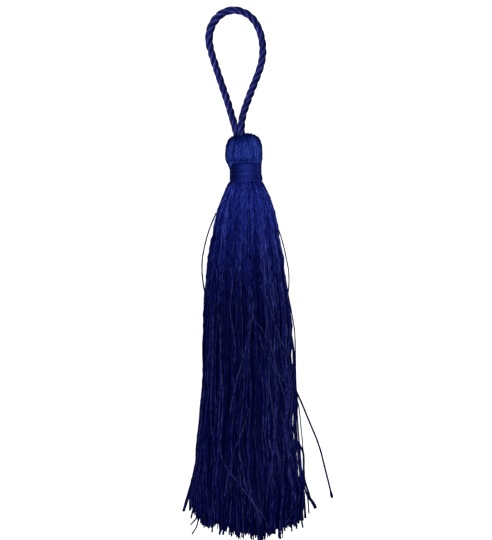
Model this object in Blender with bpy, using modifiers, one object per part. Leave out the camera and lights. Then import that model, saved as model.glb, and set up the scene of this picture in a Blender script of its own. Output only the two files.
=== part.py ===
"""A silky yarn tassel on a twisted cord loop, lying on its back.

Metres, +Z up. The tassel lies along Y, its loop at +Y and its cut end at -Y, and rests
on the plane z = 0. The origin lies under the middle of the yarn hank's box.

Four pieces, as a tassel maker has them: the hank of yarn, folded over so that its upper
part is the head and its lower part the skirt; the thread wound round the neck; the cord
loop, whose two ends go into the crown of the head; and one strand that has come loose.
"""

import math
import random

import bmesh
import bpy
from mathutils import Vector

MM = 0.001
GAP = 0.3 * MM  # between pieces that touch on the real tassel

# Driving dimensions
HANK_LENGTH = 122.0 * MM  # crown of the head to the longest cut end
CROWN_Y = HANK_LENGTH / 2
CORD_DIAMETER = 2.1 * MM
STRAND_DIAMETER = 0.5 * MM

# Neck: the hank is drawn in to a round section, and the binding is wound on it
NECK_X = -1.0 * MM
NECK_Z = 5.05 * MM
NECK_RADIUS = 3.95 * MM
BINDING_START = 8.7 * MM  # from the crown
BINDING_LENGTH = 6.2 * MM
BINDING_TURNS = 12
THREAD_DIAMETER = BINDING_LENGTH / BINDING_TURNS
BINDING_STEPS = 28

# Sections of the hank, in mm. An underside below 0 is where a round section would reach;
# the hank is pressed flat there on the surface that it lies on.
SECTION_COLUMNS = ("from_crown", "centre_x", "half_width", "underside", "top", "groove")
HEAD_SECTIONS = (
    (0.0, -1.25, 1.5, 3.60, 6.9, 0.00),
    (0.3, -1.20, 2.9, 2.30, 8.2, 0.08),
    (1.0, -1.25, 4.1, 1.20, 9.2, 0.12),
    (2.0, -1.40, 4.8, 0.40, 9.9, 0.14),
    (3.6, -1.55, 5.3, -0.15, 10.4, 0.16),
    (5.6, -1.65, 5.5, -0.30, 10.6, 0.16),
    (7.1, -1.55, 5.4, -0.20, 10.5, 0.16),
    (7.9, -1.30, 5.0, 0.15, 10.1, 0.14),
    (8.3, -1.10, 4.4, 0.65, 9.5, 0.10),
)
SKIRT_SECTIONS = (
    (15.3, -1.00, 4.9, 0.30, 9.8, 0.15),
    (17.0, -1.05, 6.1, -0.20, 10.2, 0.30),
    (20.0, -1.05, 7.4, -0.60, 10.4, 0.40),
    (28.0, -1.05, 9.7, -1.00, 10.2, 0.50),
    (39.0, -1.10, 11.4, -1.10, 9.6, 0.55),
    (54.0, -0.70, 12.9, -1.10, 8.8, 0.60),
    (70.0, -0.20, 13.8, -1.00, 8.0, 0.65),
    (86.0, -0.20, 14.8, -0.90, 7.1, 0.70),
    (101.0, -0.45, 16.2, -0.80, 6.2, 0.75),
    (111.0, -0.35, 17.0, -0.70, 5.5, 0.75),
    (116.5, -0.10, 16.9, -0.50, 5.0, 0.00),
)
SKIRT_RING_STEP = 4.2 * MM
RING_POINTS = 64
LOCK_COUNT = 16  # main locks round the hank, each four points of a ring wide
LOCK_DRIFT = 0.5  # how far the locks wander round the skirt, in lock widths

# The cut end: an arc in plan, longest a little right of the middle
HEM_MIDDLE_X = 1.8 * MM
HEM_ARC = 26.0  # per metre: how much shorter the side locks are
HEM_ARC_FROM = 66.0 * MM  # from the crown; above this the rings are straight
TUFT_ROWS = (  # height of the row, how many tufts it has, share of the hem's width
    (1.15 * MM, 16, 0.95),
    (3.30 * MM, 15, 0.90),
)
TUFT_ROOT_RADIUS = 1.10 * MM
TUFT_TIP_RADIUS = 0.45 * MM
TUFT_ROOT_DEPTH = 4.0 * MM  # how far a tuft starts inside the skirt
TUFT_LENGTHS = (2.6 * MM, 5.4 * MM)  # past the skirt's last ring
TUFT_SPREAD = 0.16  # sideways lean of the outermost tufts, per unit of length
TUFT_SIDES = 8

# Locks that splay from the sides of the skirt near its end, in mm
SPLAYED_LOCKS = (
    ((-14.6, -36.0, 1.9), (-16.9, -44.5, 1.2), (-18.6, -49.0, 0.9), (-19.8, -52.4, 0.8)),
    ((14.6, -41.0, 2.0), (16.4, -45.6, 1.3), (18.1, -48.4, 0.9), (20.0, -51.6, 0.8)),
    ((-15.2, -44.0, 2.2), (-16.6, -49.5, 1.4), (-17.6, -54.0, 0.9)),
    ((14.4, -46.0, 2.0), (15.8, -51.0, 1.3), (17.0, -55.2, 0.9)),
)
SPLAYED_LOCK_RADIUS = 0.6 * MM

# Middle line of the cord loop, in mm, from one end inside the head round to the other
LOOP_ROUTE = (
    (-3.35, 58.6, 4.25), (-3.70, 60.9, 4.25), (-4.20, 62.9, 4.05), (-5.00, 65.7, 3.35),
    (-6.20, 69.9, 2.20), (-7.80, 74.7, 1.40), (-9.60, 80.1, 1.10), (-11.30, 85.5, 1.06),
    (-12.00, 89.2, 1.06), (-11.50, 92.7, 1.06), (-9.90, 95.6, 1.06), (-7.50, 97.5, 1.06),
    (-4.40, 98.2, 1.06), (-1.20, 97.4, 1.06), (1.20, 95.5, 1.06), (2.90, 92.7, 1.06),
    (3.90, 89.2, 1.06), (4.15, 85.6, 1.06), (3.65, 81.9, 1.08), (2.45, 78.3, 1.20),
    (1.05, 74.7, 1.70), (-0.30, 71.1, 2.75), (-1.50, 67.5, 4.25), (-2.10, 64.8, 5.30),
    (-2.30, 62.8, 5.85), (-2.30, 60.9, 6.05), (-2.25, 58.6, 6.05),
)  # fmt: skip
LOOP_POINTS = 48
POCKET_POINTS = 5  # of those, how many at each end the pocket in the crown clears

# Middle line of the loose strand, in mm, from the side of the skirt to its cut end
STRAY_ROUTE = (
    (14.30, -16.5, 2.05), (15.90, -20.1, 1.35), (17.40, -23.7, 0.60), (18.90, -27.3, 0.28),
    (20.40, -30.9, 0.26), (21.60, -34.5, 0.26), (22.50, -38.1, 0.26), (23.40, -41.7, 0.26),
    (24.30, -45.3, 0.26), (25.05, -48.6, 0.26),
)  # fmt: skip
STRAY_POINTS = 22

YARN_BLUE = (0.012, 0.020, 0.145, 1.0)
THREAD_BLUE = (0.010, 0.018, 0.125, 1.0)
CORD_BLUE = (0.016, 0.024, 0.130, 1.0)


def clear_scene():
    for obj in list(bpy.data.objects):
        bpy.data.objects.remove(obj, do_unlink=True)


def new_collection(name):
    collection = bpy.data.collections.new(name)
    bpy.context.scene.collection.children.link(collection)
    return collection


def fabric(name, colour, roughness):
    material = bpy.data.materials.new(name)
    material.use_nodes = True
    shader = material.node_tree.nodes["Principled BSDF"]
    shader.inputs["Base Color"].default_value = colour
    shader.inputs["Roughness"].default_value = roughness
    shader.inputs["Metallic"].default_value = 0.0
    shader.inputs["Sheen Weight"].default_value = 0.3
    return material


def add_object(name, data, collection, material=None):
    obj = bpy.data.objects.new(name, data)
    collection.objects.link(obj)
    if material:
        data.materials.append(material)
    return obj


def hide_helper(obj):
    obj.hide_render = True
    obj.display_type = "WIRE"
    return obj


def in_metres(points_mm):
    return [Vector(point) * MM for point in points_mm]


def smooth_line(knots, count):
    """Points at even spacing on a Catmull-Rom curve through the knots."""
    ends = [2 * knots[0] - knots[1], *knots, 2 * knots[-1] - knots[-2]]
    fine = []
    for before, start, end, after in zip(ends, ends[1:], ends[2:], ends[3:]):
        for step in range(16):
            t = step / 16
            fine.append(
                0.5
                * (
                    2 * start
                    + (end - before) * t
                    + (2 * before - 5 * start + 4 * end - after) * t**2
                    + (3 * start - before - 3 * end + after) * t**3
                )
            )
    fine.append(knots[-1])
    lengths = [0.0]
    for a, b in zip(fine, fine[1:]):
        lengths.append(lengths[-1] + (b - a).length)
    line = []
    index = 0
    for i in range(count):
        target = lengths[-1] * i / (count - 1)
        while index < len(fine) - 2 and lengths[index + 1] < target:
            index += 1
        share = (target - lengths[index]) / (lengths[index + 1] - lengths[index])
        line.append(fine[index].lerp(fine[index + 1], share))
    return line


def smoothstep(value, low, high):
    t = min(1.0, max(0.0, (value - low) / (high - low)))
    return t * t * (3 - 2 * t)


def tube(name, line, radius, collection, material=None, tip_share=1.0):
    """A round tube along the line, closed at both ends; tip_share narrows its far end."""
    curve = bpy.data.curves.new(name, "CURVE")
    curve.dimensions = "3D"
    curve.bevel_depth = radius
    curve.bevel_resolution = 2
    curve.use_fill_caps = True
    spline = curve.splines.new("POLY")
    spline.points.add(len(line) - 1)
    for i, (point, place) in enumerate(zip(spline.points, line)):
        point.co = (*place, 1.0)
        point.radius = 1.0 + (tip_share - 1.0) * i / (len(line) - 1)
    return add_object(name, curve, collection, material)


def as_mesh(obj, collection):
    """The same tube as a closed mesh, so that a Boolean can use it."""
    bpy.context.view_layer.update()
    evaluated = obj.evaluated_get(bpy.context.evaluated_depsgraph_get())
    mesh = bpy.data.meshes.new_from_object(evaluated)
    weld = bmesh.new()
    weld.from_mesh(mesh)
    bmesh.ops.remove_doubles(weld, verts=weld.verts, dist=0.01 * MM)
    bmesh.ops.recalc_face_normals(weld, faces=weld.faces)
    weld.to_mesh(mesh)
    weld.free()
    name = obj.name
    placed = obj.matrix_world.copy()
    bpy.data.objects.remove(obj)
    solid = add_object(name, mesh, collection)
    solid.matrix_world = placed
    return solid


def section(row):
    """A table row, which is in mm, as named values in metres."""
    return {name: value * MM for name, value in zip(SECTION_COLUMNS, row)}


def between(first, second, share):
    return {
        name: first[name] + (second[name] - first[name]) * share
        for name in SECTION_COLUMNS
    }


def neck_section(from_crown):
    return {
        "from_crown": from_crown,
        "centre_x": NECK_X,
        "half_width": NECK_RADIUS,
        "underside": NECK_Z - NECK_RADIUS,
        "top": NECK_Z + NECK_RADIUS,
        "groove": 0.0,
    }


def hank_sections():
    """The hank's rings in order, from the crown to the last ring of the skirt."""
    rings = [section(row) for row in HEAD_SECTIONS]
    rings.append(neck_section(BINDING_START - GAP))
    rings.append(neck_section(BINDING_START + BINDING_LENGTH + GAP))
    skirt = [section(row) for row in SKIRT_SECTIONS]
    for first, second in zip(skirt, skirt[1:]):
        span = second["from_crown"] - first["from_crown"]
        steps = max(1, round(span / SKIRT_RING_STEP))
        rings += [between(first, second, step / steps) for step in range(steps)]
    rings.append(skirt[-1])
    return rings


def lock_ridge(angle, along):
    """From -1 in a groove to +1 on the ridge of a lock, which wanders along the skirt."""
    drift = LOCK_DRIFT * math.sin(along * 70 + 2.3 * math.sin(angle * 3))
    uneven = 0.75 + 0.25 * math.sin(angle * 7 + along * 45)
    return uneven * math.cos(angle * LOCK_COUNT + drift * 2)


def hem_lift(x, from_crown):
    """How much nearer the crown a ring's point is for lying off the hem's middle."""
    ramp = smoothstep(from_crown, HEM_ARC_FROM, SKIRT_SECTIONS[-1][0] * MM)
    return HEM_ARC * (x - HEM_MIDDLE_X) ** 2 * ramp


def ring_point(ring, index):
    """One point of a ring: a lobed oval whose underside is pressed flat at z = 0."""
    angle = 2 * math.pi * index / RING_POINTS
    middle_z = (max(0.0, ring["underside"]) + ring["top"]) / 2
    belly = middle_z - ring["underside"] if math.sin(angle) < 0 else ring["top"] - middle_z
    ridge = ring["groove"] * lock_ridge(angle, ring["from_crown"])
    x = ring["centre_x"] + (ring["half_width"] + ridge) * math.cos(angle)
    z = max(0.0, middle_z + (belly + ridge) * math.sin(angle))
    y = CROWN_Y - ring["from_crown"] + hem_lift(x, ring["from_crown"])
    return Vector((x, y, z))


def hank_mesh():
    """A loft through the rings. Each end is closed by a strip from top to underside."""
    loft = bmesh.new()
    rings = [
        [loft.verts.new(ring_point(ring, i)) for i in range(RING_POINTS)]
        for ring in hank_sections()
    ]
    for upper, lower in zip(rings, rings[1:]):
        for i in range(RING_POINTS):
            following = (i + 1) % RING_POINTS
            loft.faces.new((upper[i], upper[following], lower[following], lower[i]))
    for ends in (rings[0], rings[-1]):
        for i in range(RING_POINTS // 2):
            corners = [ends[i], ends[i + 1], ends[-i - 1], ends[-i % RING_POINTS]]
            loft.faces.new(list(dict.fromkeys(corners)))
    bmesh.ops.recalc_face_normals(loft, faces=loft.faces)
    mesh = bpy.data.meshes.new("yarn_hank")
    loft.to_mesh(mesh)
    loft.free()
    return mesh


def add_tuft(mesh, root, tip):
    """A tapered tuft of cut yarn ends, from its root inside the skirt to its blunt tip."""
    made = bmesh.ops.create_cone(
        mesh,
        cap_ends=True,
        segments=TUFT_SIDES,
        radius1=TUFT_ROOT_RADIUS,
        radius2=TUFT_TIP_RADIUS,
        depth=(tip - root).length,
    )
    turn = (tip - root).to_track_quat("Z", "Y").to_matrix()
    bmesh.ops.rotate(mesh, verts=made["verts"], matrix=turn, cent=(0, 0, 0))
    bmesh.ops.translate(mesh, verts=made["verts"], vec=(root + tip) / 2)


def tufts_object(collection):
    """The comb of tufts along the cut end, in rows one above the other."""
    chance = random.Random(7)
    last = section(SKIRT_SECTIONS[-1])
    comb = bmesh.new()
    for height, count, width_share in TUFT_ROWS:
        for i in range(count):
            across = 2 * (i + 0.5) / count - 1 + chance.uniform(-0.2, 0.2) / count
            x = last["centre_x"] + last["half_width"] * width_share * across
            hem_y = CROWN_Y - last["from_crown"] + hem_lift(x, last["from_crown"])
            reach = chance.uniform(*TUFT_LENGTHS)
            lean = TUFT_SPREAD * across + chance.uniform(-0.08, 0.08)
            root = Vector((x - lean * TUFT_ROOT_DEPTH, hem_y + TUFT_ROOT_DEPTH, height))
            drop = (height - TUFT_TIP_RADIUS) * 0.4
            tip = Vector((x + lean * reach, hem_y - reach, height - drop))
            add_tuft(comb, root, tip)
    mesh = bpy.data.meshes.new("tufts")
    comb.to_mesh(mesh)
    comb.free()
    return hide_helper(add_object("tufts", mesh, collection))


def splayed_locks(collection):
    locks = []
    for number, route in enumerate(SPLAYED_LOCKS):
        line = smooth_line(in_metres(route), 7)
        name = f"splayed_lock_{number}"
        lock = tube(name, line, SPLAYED_LOCK_RADIUS, collection, tip_share=0.8)
        locks.append(hide_helper(as_mesh(lock, collection)))
    return locks


def pocket_cutters(line, collection):
    """Clearance for the two ends of the cord where they go into the crown."""
    cutters = []
    for name, end in (("left", line[:POCKET_POINTS]), ("right", line[: -POCKET_POINTS - 1 : -1])):
        floor = end[0] + (end[0] - end[1]).normalized() * GAP
        route = [floor, *end[1:]]
        cutter = tube(f"pocket_{name}", route, CORD_DIAMETER / 2 + GAP, collection)
        cutters.append(hide_helper(as_mesh(cutter, collection)))
    return cutters


def add_boolean(obj, other, operation):
    modifier = obj.modifiers.new(f"{operation.lower()} {other.name}", "BOOLEAN")
    modifier.operation = operation
    modifier.solver = "EXACT"
    modifier.object = other
    return modifier


def build_hank(parts, helpers, material, loop_line):
    hank = add_object("yarn_hank", hank_mesh(), parts, material)
    add_boolean(hank, tufts_object(helpers), "UNION").use_self = True
    for lock in splayed_locks(helpers):
        add_boolean(hank, lock, "UNION")
    for cutter in pocket_cutters(loop_line, helpers):
        add_boolean(hank, cutter, "DIFFERENCE")
    return hank


def build_binding(parts, material):
    """The wound neck band: a turned ring whose outside shows its turns of thread."""
    inner = NECK_RADIUS + GAP
    profile = [(inner, BINDING_LENGTH)]
    for turn in range(BINDING_TURNS):
        middle = BINDING_LENGTH - (turn + 0.5) * THREAD_DIAMETER
        waist = 0.1 * MM * math.cos(math.pi * (2 * middle / BINDING_LENGTH - 1))
        ridge = inner + THREAD_DIAMETER - waist
        profile.append((ridge - 0.14 * MM, middle + THREAD_DIAMETER / 2))
        profile.append((ridge, middle))
    profile.append((inner + THREAD_DIAMETER - 0.04 * MM, 0.0))
    profile.append((inner, 0.0))
    outline = bmesh.new()
    corners = [outline.verts.new((radius, 0, height)) for radius, height in profile]
    for a, b in zip(corners, corners[1:] + corners[:1]):
        outline.edges.new((a, b))
    mesh = bpy.data.meshes.new("neck_binding")
    outline.to_mesh(mesh)
    outline.free()
    binding = add_object("neck_binding", mesh, parts, material)
    turned = binding.modifiers.new("turned", "SCREW")
    turned.steps = turned.render_steps = BINDING_STEPS
    turned.use_merge_vertices = True
    turned.merge_threshold = 0.01 * MM
    turned.use_smooth_shade = True
    binding.location = (NECK_X, CROWN_Y - BINDING_START - BINDING_LENGTH, NECK_Z)
    binding.rotation_euler = (math.radians(-90), 0, 0)
    return binding


def main():
    clear_scene()
    parts = new_collection("tassel")
    helpers = new_collection("cutters")
    yarn = fabric("silky yarn", YARN_BLUE, 0.45)
    thread = fabric("binding thread", THREAD_BLUE, 0.45)
    cord = fabric("twisted cord", CORD_BLUE, 0.5)

    loop_line = smooth_line(in_metres(LOOP_ROUTE), LOOP_POINTS)
    stray_line = smooth_line(in_metres(STRAY_ROUTE), STRAY_POINTS)
    pieces = [
        build_hank(parts, helpers, yarn, loop_line),
        build_binding(parts, thread),
        tube("hanging_loop", loop_line, CORD_DIAMETER / 2, parts, cord),
        tube("stray_strand", stray_line, STRAND_DIAMETER / 2, parts, yarn),
    ]
    frame = add_object("tassel_origin", None, parts)
    for piece in pieces:
        piece.parent = frame
    bpy.context.view_layer.update()


main()
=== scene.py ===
import math
import random
from statistics import NormalDist

import bpy
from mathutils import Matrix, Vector, noise


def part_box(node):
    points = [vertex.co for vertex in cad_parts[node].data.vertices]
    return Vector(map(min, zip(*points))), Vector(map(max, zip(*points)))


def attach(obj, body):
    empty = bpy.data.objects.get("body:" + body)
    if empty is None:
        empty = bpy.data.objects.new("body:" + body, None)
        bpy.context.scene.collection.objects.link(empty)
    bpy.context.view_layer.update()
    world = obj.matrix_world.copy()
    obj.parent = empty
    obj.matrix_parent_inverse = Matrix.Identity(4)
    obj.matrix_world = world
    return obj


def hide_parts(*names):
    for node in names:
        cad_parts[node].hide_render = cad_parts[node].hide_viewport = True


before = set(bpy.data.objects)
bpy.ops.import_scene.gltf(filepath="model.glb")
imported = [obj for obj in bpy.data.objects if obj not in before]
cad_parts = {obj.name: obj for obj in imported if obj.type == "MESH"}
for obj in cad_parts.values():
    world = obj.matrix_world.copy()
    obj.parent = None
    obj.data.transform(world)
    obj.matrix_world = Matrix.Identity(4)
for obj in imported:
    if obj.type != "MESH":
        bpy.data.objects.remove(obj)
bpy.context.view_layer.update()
mm = 0.001

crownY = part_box("yarn_hank")[1][1]
bindingLow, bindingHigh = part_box("neck_binding")
neckX = (bindingLow[0] + bindingHigh[0]) / 2
neckZ = (bindingLow[2] + bindingHigh[2]) / 2
print("frame loaded")


# camera, floor and light

studio = {
    "frameHeight": 162.0 * mm,  # what the picture takes in, at the level below
    "frameLevel": 3.0 * mm,
    "frameCentre": (-0.9 * mm, 20.1 * mm),
    "lens": 200.0,
    "sensor": 36.0,
    "floorSize": 6.0,
    "floorDrop": 0.02 * mm,  # below the strands that lie on it
    "floorColour": (0.8, 0.8, 0.8, 1.0),
    "floorGlow": 0.9,  # a light table: shadows on it stay faint
    "roomLight": 0.05,
    "keyPlace": (0.06, -0.20, 1.15),
    "keySize": 0.36,
    "keyPower": 9.0,
    "fillPlace": (-0.50, 0.1, 0.95),
    "fillSize": 0.7,
    "fillPower": 0.9,
}


def addObject(name, data):
    made = bpy.data.objects.new(name, data)
    bpy.context.scene.collection.objects.link(made)
    return made


def giveInputs(tree, node, values):
    # an input is given a value, or linked to another node's output
    for name, value in values.items():
        if isinstance(value, bpy.types.NodeSocket):
            tree.links.new(value, node.inputs[name])
        else:
            node.inputs[name].default_value = value


def addNode(tree, kind, values=None, out=0, **settings):
    # makes a node and returns the one of its outputs that is used
    node = tree.nodes.new(kind)
    for name, setting in settings.items():
        setattr(node, name, setting)
    giveInputs(tree, node, values or {})
    return node.outputs[out]


def addMath(tree, operation, *values):
    return addNode(tree, "ShaderNodeMath", dict(enumerate(values)), operation=operation)


def addRange(tree, value, fromLow, fromHigh, toLow=0.0, toHigh=1.0, shape="LINEAR"):
    ends = {"From Min": fromLow, "From Max": fromHigh, "To Min": toLow, "To Max": toHigh}
    return addNode(tree, "ShaderNodeMapRange", {"Value": value, **ends}, interpolation_type=shape)


def addMix(tree, share, low, high, kind="FLOAT"):
    first, out = {"FLOAT": (2, 0), "RGBA": (6, 2)}[kind]  # a Mix node has sockets for each kind
    ends = {first: low, first + 1: high}
    return addNode(tree, "ShaderNodeMix", {"Factor": share, **ends}, out, data_type=kind)


def makeCamera():
    data = bpy.data.cameras.new("camera")
    data.lens = studio["lens"]
    data.sensor_width = studio["sensor"]
    data.clip_start = 10 * mm
    camera = addObject("camera", data)
    distance = studio["frameHeight"] * studio["lens"] / studio["sensor"]
    camera.location = (*studio["frameCentre"], distance + studio["frameLevel"])
    bpy.context.scene.camera = camera


def makeFloor():
    half = studio["floorSize"] / 2
    corners = [(-half, -half, 0), (half, -half, 0), (half, half, 0), (-half, half, 0)]
    mesh = bpy.data.meshes.new("floor")
    mesh.from_pydata(corners, [], [(0, 1, 2, 3)])
    material = bpy.data.materials.new("pale floor")
    material.use_nodes = True
    shader = material.node_tree.nodes["Principled BSDF"]
    shader.inputs["Base Color"].default_value = studio["floorColour"]
    shader.inputs["Roughness"].default_value = 0.9
    shader.inputs["Specular IOR Level"].default_value = 0.0
    shader.inputs["Emission Color"].default_value = (1.0, 1.0, 1.0, 1.0)
    shader.inputs["Emission Strength"].default_value = studio["floorGlow"]
    mesh.materials.append(material)
    floor = addObject("floor", mesh)
    floor.location.z = -studio["floorDrop"]
    floor.visible_diffuse = False  # the yarn takes no light from below
    floor.visible_glossy = False


def makeLight(name, place, size, power):
    data = bpy.data.lights.new(name, "AREA")
    data.size = size
    data.energy = power
    light = addObject(name, data)
    light.location = place
    light.rotation_mode = "QUATERNION"
    light.rotation_quaternion = (-Vector(place)).to_track_quat("-Z", "Y")


def makeWorld():
    # white where it is looked at, dim as a light
    world = bpy.data.worlds.new("studio")
    world.use_nodes = True
    tree = world.node_tree
    seen = addNode(tree, "ShaderNodeLightPath", out="Is Camera Ray")
    background = tree.nodes["Background"]
    background.inputs["Color"].default_value = (1.0, 1.0, 1.0, 1.0)
    tree.links.new(addMath(tree, "MAXIMUM", seen, studio["roomLight"]), background.inputs["Strength"])
    bpy.context.scene.world = world


makeCamera()
makeFloor()
makeLight("key", studio["keyPlace"], studio["keySize"], studio["keyPower"])
makeLight("fill", studio["fillPlace"], studio["fillSize"], studio["fillPower"])
makeWorld()
bpy.context.scene.view_settings.view_transform = "Standard"
print("studio made")


# yarn materials: "deep" and "pale" are the colours of dark and of light stretches of a strand,
# the pale one a painted sheen. A finish that changes down the tassel says between which levels,
# and what it has at the lower one: a darker look, painted shade.

finishesAndPaintedLight = {
    "headYarn": {
        "deep": (0.0048, 0.0150, 0.250, 1.0),
        "pale": (0.0250, 0.0480, 0.250, 1.0),
        "mottle": 0.90,  # how much lighter and darker the stretches are: uneven tone and painted glints
        "stretches": 1.30,  # how closely they follow each other
        "roughness": 0.42,
        "gloss": 0.50,
        "glossTint": (0.11, 0.18, 1.0, 1.0),
    },
    "skirtYarn": {
        "deep": (0.0072, 0.0165, 0.265, 1.0),
        "pale": (0.0235, 0.0380, 0.235, 1.0),
        "mottle": 1.12,
        "stretches": 0.85,
        "roughness": 0.38,
        "gloss": 0.60,
        "glossTint": (0.10, 0.13, 1.0, 1.0),
        "levels": (40.0 * mm, 4.0 * mm),
        "low": {
            "deep": (0.0001, 0.0006, 0.053, 1.0),
            "pale": (0.0135, 0.0148, 0.051, 1.0),
            "mottle": 1.05,
            "stretches": 0.65,
        },
    },
    # the skirt yarn of the deeper layers, darker and duller: painted shade
    "shadedDeepSkirtYarn": {
        "deep": (0.0055, 0.0130, 0.215, 1.0),
        "pale": (0.0150, 0.0250, 0.190, 1.0),
        "mottle": 0.55,
        "stretches": 1.30,
        "roughness": 0.50,
        "gloss": 0.15,
        "glossTint": (0.10, 0.13, 1.0, 1.0),
        "levels": (40.0 * mm, 4.0 * mm),
        "low": {
            "deep": (0.0002, 0.0008, 0.047, 1.0),
            "pale": (0.0075, 0.0090, 0.048, 1.0),
            "mottle": 0.40,
            "stretches": 0.70,
        },
    },
    "bindingThread": {
        "deep": (0.0060, 0.0140, 0.170, 1.0),
        "pale": (0.0200, 0.0350, 0.240, 1.0),
        "mottle": 0.15,
        "stretches": 0.30,
        "roughness": 0.42,
        "gloss": 0.40,
        "glossTint": (0.15, 0.20, 1.0, 1.0),
    },
    "cordYarn": {
        "deep": (0.0085, 0.0140, 0.150, 1.0),
        "pale": (0.0680, 0.0760, 0.360, 1.0),
        "mottle": 0.40,
        "stretches": 0.60,
        "roughness": 0.36,
        "gloss": 0.70,
        "glossTint": (0.19, 0.23, 1.0, 1.0),
    },
    # the hank's inside: painted shade, darker still lower down
    "shadedInnerYarn": {
        "deep": (0.0020, 0.0050, 0.070, 1.0),
        "pale": (0.0020, 0.0050, 0.070, 1.0),
        "mottle": 0.40,
        "stretches": 0.50,
        "roughness": 0.60,
        "gloss": 0.05,
        "glossTint": (0.10, 0.15, 1.0, 1.0),
        "levels": (60.0 * mm, 0.0),
        "low": {"deep": (0.0002, 0.0006, 0.028, 1.0), "pale": (0.0002, 0.0006, 0.028, 1.0)},
    },
}
evenLevels = (crownY, 0.0)  # for a finish that stays the same
surface = {  # what the finishes share
    "fade": 1.5,  # power with which a finish goes over to its lower, darker look (painted shade)
    "stretchNoise": {"Detail": 2.0, "Roughness": 0.72},
    "noiseEnds": (0.3, 0.7),  # where the noise counts as its darkest and its lightest
    "darkest": 0.1,  # share of a strand's own lightness that the darkest stretches keep
    "deepToPale": (0.6, 1.8),  # lightness at which a strand has its "deep" colour and its "pale" one, a painted sheen
    "filamentScale": (3.0, 3.0, 0.22),  # across the strand, and along it
    "filamentNoise": {"Scale": 1.6, "Detail": 3.0},
    "relief": {"Strength": 0.5, "Distance": 0.12 * mm},
    "dullToGlossy": (0.3, 1.3),  # lightness at which a strand is roughest and smoothest
    "rougher": 0.25,  # than the finish's own roughness
    "smoother": 0.05,
}


def makeYarnMaterial(name, finishAndPaintedLight):
    material = bpy.data.materials.new(name)
    material.use_nodes = True
    tree = material.node_tree
    shader = tree.nodes["Principled BSDF"]

    # the yarn's two colours, at the height of the point; lower levels are darker, painted shade
    high, low = finishAndPaintedLight, {**finishAndPaintedLight, **finishAndPaintedLight.get("low", {})}
    highLevel, lowLevel = finishAndPaintedLight.get("levels", evenLevels)
    place = addNode(tree, "ShaderNodeTexCoord", out="Object")
    height = addNode(tree, "ShaderNodeSeparateXYZ", {"Vector": place}, out="Y")
    fade = addMath(tree, "POWER", addRange(tree, height, lowLevel, highLevel), surface["fade"])
    deep = addMix(tree, fade, low["deep"], high["deep"], "RGBA")
    pale = addMix(tree, fade, low["pale"], high["pale"], "RGBA")

    # each strand has a lightness of its own, painted shade and light included, and lighter and darker
    # stretches
    fibre = addNode(tree, "ShaderNodeAttribute", attribute_name="fibre", out="Vector")
    shade = addNode(tree, "ShaderNodeAttribute", attribute_name="shade", out="Fac")
    grain = {"Vector": fibre, **surface["stretchNoise"]}
    lowNoise, highNoise = (
        addNode(tree, "ShaderNodeTexNoise", {**grain, "Scale": end["stretches"]}, out="Fac")
        for end in (low, high)
    )
    # the stretches: uneven tone, and painted glints where the floss turns
    stretches = addMix(tree, fade, lowNoise, highNoise)
    swing = addRange(tree, stretches, *surface["noiseEnds"], -1.0, 1.0)
    mottle = addMix(tree, fade, low["mottle"], high["mottle"])
    mottled = addMath(tree, "MULTIPLY_ADD", swing, mottle, 1.0)
    lightness = addMath(tree, "MULTIPLY", shade, addMath(tree, "MAXIMUM", mottled, surface["darkest"]))
    # light stretches take on the pale colour: a painted sheen
    paler = addRange(tree, lightness, *surface["deepToPale"], shape="SMOOTHSTEP")
    body = addMix(tree, paler, deep, pale, "RGBA")
    colour = addNode(tree, "ShaderNodeVectorMath", {0: body, "Scale": lightness}, operation="SCALE")
    tree.links.new(colour, shader.inputs["Base Color"])

    # fine filaments that run along the strand
    scaled = {"Vector": fibre, "Scale": surface["filamentScale"]}
    fine = {"Vector": addNode(tree, "ShaderNodeMapping", scaled), **surface["filamentNoise"]}
    filaments = addNode(tree, "ShaderNodeTexNoise", fine, out="Fac")
    relief = {"Height": filaments, **surface["relief"]}
    tree.links.new(addNode(tree, "ShaderNodeBump", relief, out="Normal"), shader.inputs["Normal"])

    # the lighter a stretch is, the glossier
    dull, glossy = finishAndPaintedLight["roughness"] + surface["rougher"], finishAndPaintedLight["roughness"] - surface["smoother"]
    roughness = addRange(tree, lightness, *surface["dullToGlossy"], dull, glossy)
    tree.links.new(roughness, shader.inputs["Roughness"])
    shader.inputs["Specular IOR Level"].default_value = finishAndPaintedLight["gloss"]
    shader.inputs["Specular Tint"].default_value = finishAndPaintedLight["glossTint"]
    return material


yarns = {name: makeYarnMaterial(name, finishAndPaintedLight) for name, finishAndPaintedLight in finishesAndPaintedLight.items()}
print("materials made")


# strands: lines made into flat floss that turns about itself


def newTree(name, sockets):
    tree = bpy.data.node_groups.new(name, "GeometryNodeTree")
    tree.interface.new_socket("Geometry", in_out="INPUT", socket_type="NodeSocketGeometry")
    for label, kind, value in sockets:
        socket = tree.interface.new_socket(label, in_out="INPUT", socket_type="NodeSocket" + kind)
        if value is not None:
            socket.default_value = value
    tree.interface.new_socket("Geometry", in_out="OUTPUT", socket_type="NodeSocketGeometry")
    return tree


def curveNumber(tree):
    # the number of the strand that a point is on
    index = addNode(tree, "GeometryNodeInputIndex")
    return addNode(
        tree, "GeometryNodeFieldOnDomain", {"Value": index}, data_type="INT", domain="CURVE"
    )


def namedValue(tree, name):
    return addNode(tree, "GeometryNodeInputNamedAttribute", {"Name": name}, data_type="FLOAT")


def captureFields(tree, geometry, fields):
    # holds on to values of each point that are lost when the lines become tubes
    node = tree.nodes.new("GeometryNodeCaptureAttribute")
    for label in fields:
        node.capture_items.new("FLOAT", label)
    giveInputs(tree, node, {"Geometry": geometry, **fields})
    return node.outputs


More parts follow.
